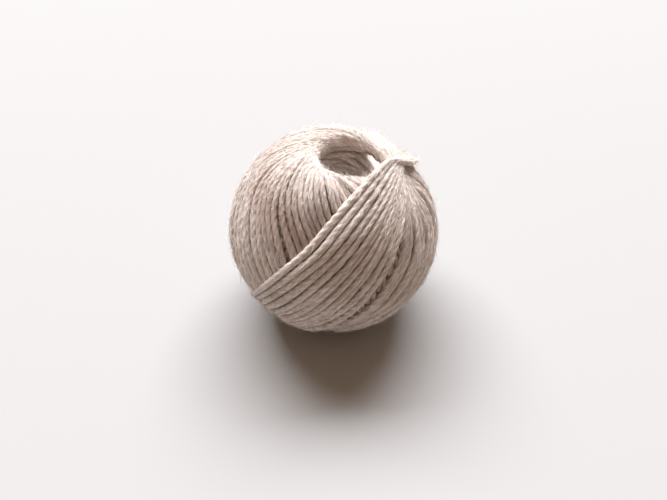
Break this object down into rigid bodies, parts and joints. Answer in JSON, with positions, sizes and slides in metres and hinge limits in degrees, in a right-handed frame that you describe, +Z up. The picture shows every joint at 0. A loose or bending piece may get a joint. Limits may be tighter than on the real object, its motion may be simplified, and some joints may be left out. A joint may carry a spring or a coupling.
{
  "type": "ball of string",
  "caption": "Round ball of undyed spun string, wound on a spindle, with the open spindle hole through it and a small flat spot to stand on.",
  "frame": {"origin": "centre of the ball's box at the level of the flat spot on which it rests", "axes": "+Z up, -Y the side seen from the front, +X to the right; the hole leans 7.5 degrees from +Z towards +X"},
  "size_m": [0.0654, 0.0668, 0.0622],
  "materials": {
    "string": "undyed spun string, matt and slightly fuzzy"
  },
  "bodies": {
    "root": {"ball_of_string": "string"}
  },
  "joints": []
}
